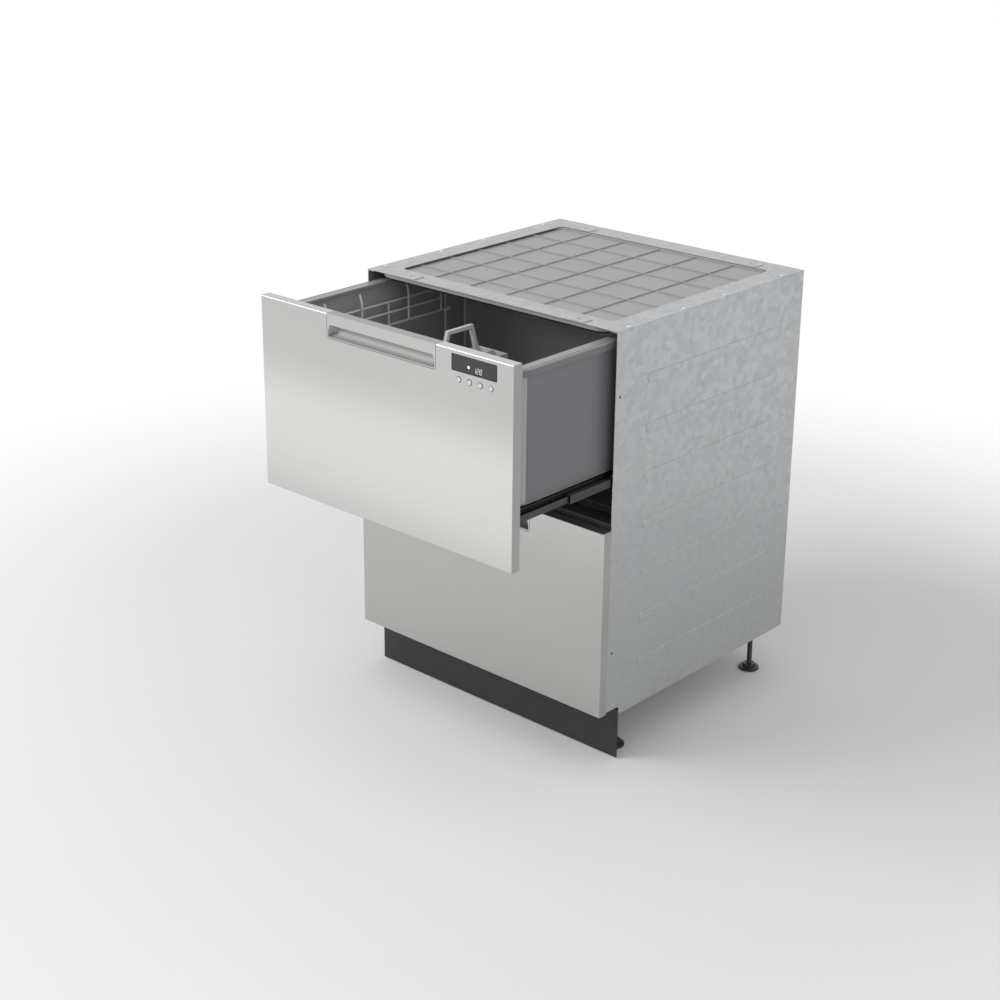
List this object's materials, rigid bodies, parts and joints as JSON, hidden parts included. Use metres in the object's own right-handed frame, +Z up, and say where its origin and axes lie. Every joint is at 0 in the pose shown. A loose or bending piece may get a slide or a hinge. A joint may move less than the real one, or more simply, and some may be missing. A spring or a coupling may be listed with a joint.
{
  "type": "dishwasher drawer",
  "caption": "Built-in double-drawer dishwasher with brushed steel fronts, recessed pull handles, a small display, grey tubs and wire racks; the upper drawer stands open.",
  "frame": {"origin": "centre of the bounding box on the floor, with the upper drawer open by 240 mm", "axes": "+X to the user's right when facing the fronts, +Y into the cabinet, +Z up"},
  "size_m": [0.599, 0.8138, 0.82],
  "materials": {
    "brushed_front": "fine horizontal brushing, clear coated",
    "button_metal": "satin",
    "zinc_sheet": "zinc coated sheet",
    "runner_steel": "zinc plated",
    "bright_screws": "zinc plated",
    "black_sheet": "satin black",
    "dark_rail": "satin dark grey",
    "tub_plastic": "smooth moulded grey",
    "lid_plastic": "fine grain",
    "pale_plastic": "fine grain",
    "filter_plastic": "fine grain",
    "valve_plastic": "glass filled",
    "grey_plastic": "fine grain",
    "black_plastic": "fine grain",
    "coated_wire": "nylon coated wire",
    "seal_rubber": "matt",
    "motor_case": "satin",
    "display_glass": "smoked",
    "board_green": "solder mask"
  },
  "bodies": {
    "chassis": {"side_panel_left": "zinc_sheet", "side_panel_right": "zinc_sheet", "top_frame": "zinc_sheet", "back_panel": "zinc_sheet", "base_tray": "zinc_sheet", "mid_rail": "dark_rail", "kickplate": "black_sheet", "fixing_brackets": "zinc_sheet", "chassis_screws": "bright_screws", "fixed_runners": "zinc_sheet", "lid_lifters": "pale_plastic", "inlet_valve": "valve_plastic", "drain_outlet": "grey_plastic", "power_inlet": "black_plastic"},
    "foot_front_left": {"foot_front_left": "black_plastic"},
    "foot_front_right": {"foot_front_right": "black_plastic"},
    "foot_rear_left": {"foot_rear_left": "black_plastic"},
    "foot_rear_right": {"foot_rear_right": "black_plastic"},
    "upper_lid": {"upper_lid": "lid_plastic", "upper_lid_seal": "seal_rubber"},
    "upper_mid_runners": {"upper_mid_runners": "runner_steel"},
    "upper_drawer": {"upper_front_skin": "brushed_front", "upper_front_liner": "grey_plastic", "upper_handle": "brushed_front", "upper_tub": "tub_plastic", "upper_moving_runners": "runner_steel", "upper_filter_plate": "filter_plastic", "upper_drain_filter": "black_plastic", "upper_motor": "motor_case", "upper_base_rack": "coated_wire", "upper_cutlery_basket": "pale_plastic", "upper_dispenser": "pale_plastic", "display_window": "display_glass", "control_board": "board_green"},
    "upper_spray_arm": {"upper_spray_arm": "pale_plastic"},
    "upper_rotor": {"upper_rotor": "pale_plastic"},
    "upper_cup_rack": {"upper_cup_rack": "coated_wire"},
    "upper_dispenser_door": {"upper_dispenser_door": "grey_plastic"},
    "lower_lid": {"lower_lid": "lid_plastic", "lower_lid_seal": "seal_rubber"},
    "lower_mid_runners": {"lower_mid_runners": "runner_steel"},
    "lower_drawer": {"lower_front_skin": "brushed_front", "lower_front_liner": "grey_plastic", "lower_handle": "brushed_front", "lower_tub": "tub_plastic", "lower_moving_runners": "runner_steel", "lower_filter_plate": "filter_plastic", "lower_drain_filter": "black_plastic", "lower_motor": "motor_case", "lower_base_rack": "coated_wire", "lower_cutlery_basket": "pale_plastic", "lower_dispenser": "pale_plastic"},
    "lower_spray_arm": {"lower_spray_arm": "pale_plastic"},
    "lower_rotor": {"lower_rotor": "pale_plastic"},
    "lower_cup_rack": {"lower_cup_rack": "coated_wire"},
    "lower_dispenser_door": {"lower_dispenser_door": "grey_plastic"},
    "button_1": {"button_1": "button_metal"},
    "button_2": {"button_2": "button_metal"},
    "button_3": {"button_3": "button_metal"},
    "button_4": {"button_4": "button_metal"}
  },
  "joints": [
    {"name": "upper_drawer_slide", "type": "slide", "parent": "chassis", "child": "upper_drawer", "axis": [0, -1, 0], "range_m": [-0.24, 0.285]},
    {"name": "upper_mid_slide", "type": "slide", "parent": "chassis", "child": "upper_mid_runners", "axis": [0, -1, 0], "range_m": [-0.12, 0.1425]},
    {"name": "lower_drawer_slide", "type": "slide", "parent": "chassis", "child": "lower_drawer", "axis": [0, -1, 0], "range_m": [0, 0.525]},
    {"name": "lower_mid_slide", "type": "slide", "parent": "chassis", "child": "lower_mid_runners", "axis": [0, -1, 0], "range_m": [0, 0.2625]},
    {"name": "upper_lid_drop", "type": "slide", "parent": "chassis", "child": "upper_lid", "axis": [0, 0, -1], "range_m": [0, 0.0052]},
    {"name": "lower_lid_drop", "type": "slide", "parent": "chassis", "child": "lower_lid", "axis": [0, 0, -1], "range_m": [0, 0.0052]},
    {"name": "upper_arm_spin", "type": "hinge", "parent": "upper_drawer", "child": "upper_spray_arm", "pos_m": [0, -0.1321, 0.5806], "axis": [0, 0, 1], "continuous": true},
    {"name": "upper_rotor_spin", "type": "hinge", "parent": "upper_drawer", "child": "upper_rotor", "pos_m": [0, -0.1321, 0.538], "axis": [0, 0, 1], "continuous": true},
    {"name": "upper_cup_rack_fold", "type": "hinge", "parent": "upper_drawer", "child": "upper_cup_rack", "pos_m": [-0.2495, -0.1321, 0.716], "axis": [0, 1, 0], "range_deg": [0, 90]},
    {"name": "upper_dispenser_flap", "type": "hinge", "parent": "upper_drawer", "child": "upper_dispenser_door", "pos_m": [-0.165, -0.351, 0.702], "axis": [-1, 0, 0], "range_deg": [0, 90]},
    {"name": "lower_arm_spin", "type": "hinge", "parent": "lower_drawer", "child": "lower_spray_arm", "pos_m": [0, 0.1079, 0.2206], "axis": [0, 0, 1], "continuous": true},
    {"name": "lower_rotor_spin", "type": "hinge", "parent": "lower_drawer", "child": "lower_rotor", "pos_m": [0, 0.1079, 0.178], "axis": [0, 0, 1], "continuous": true},
    {"name": "lower_cup_rack_fold", "type": "hinge", "parent": "lower_drawer", "child": "lower_cup_rack", "pos_m": [-0.2495, 0.1079, 0.356], "axis": [0, 1, 0], "range_deg": [0, 90]},
    {"name": "lower_dispenser_flap", "type": "hinge", "parent": "lower_drawer", "child": "lower_dispenser_door", "pos_m": [-0.165, -0.111, 0.342], "axis": [-1, 0, 0], "range_deg": [0, 90]},
    {"name": "button_1_press", "type": "slide", "parent": "upper_drawer", "child": "button_1", "axis": [0, 1, 0], "range_m": [0, 0.0008], "stiffness_N_per_m": 600, "springref_m": -0.0005},
    {"name": "button_2_press", "type": "slide", "parent": "upper_drawer", "child": "button_2", "axis": [0, 1, 0], "range_m": [0, 0.0008], "stiffness_N_per_m": 600, "springref_m": -0.0005},
    {"name": "button_3_press", "type": "slide", "parent": "upper_drawer", "child": "button_3", "axis": [0, 1, 0], "range_m": [0, 0.0008], "stiffness_N_per_m": 600, "springref_m": -0.0005},
    {"name": "button_4_press", "type": "slide", "parent": "upper_drawer", "child": "button_4", "axis": [0, 1, 0], "range_m": [0, 0.0008], "stiffness_N_per_m": 600, "springref_m": -0.0005},
    {"name": "foot_front_left_adjust", "type": "slide", "parent": "chassis", "child": "foot_front_left", "axis": [0, 0, -1], "range_m": [0, 0.06]},
    {"name": "foot_front_right_adjust", "type": "slide", "parent": "chassis", "child": "foot_front_right", "axis": [0, 0, -1], "range_m": [0, 0.06]},
    {"name": "foot_rear_left_adjust", "type": "slide", "parent": "chassis", "child": "foot_rear_left", "axis": [0, 0, -1], "range_m": [0, 0.06]},
    {"name": "foot_rear_right_adjust", "type": "slide", "parent": "chassis", "child": "foot_rear_right", "axis": [0, 0, -1], "range_m": [0, 0.06]}
  ],
  "couplings": [
    {"joint": "upper_mid_slide", "follows": "upper_drawer_slide", "ratio": 0.5},
    {"joint": "lower_mid_slide", "follows": "lower_drawer_slide", "ratio": 0.5}
  ]
}
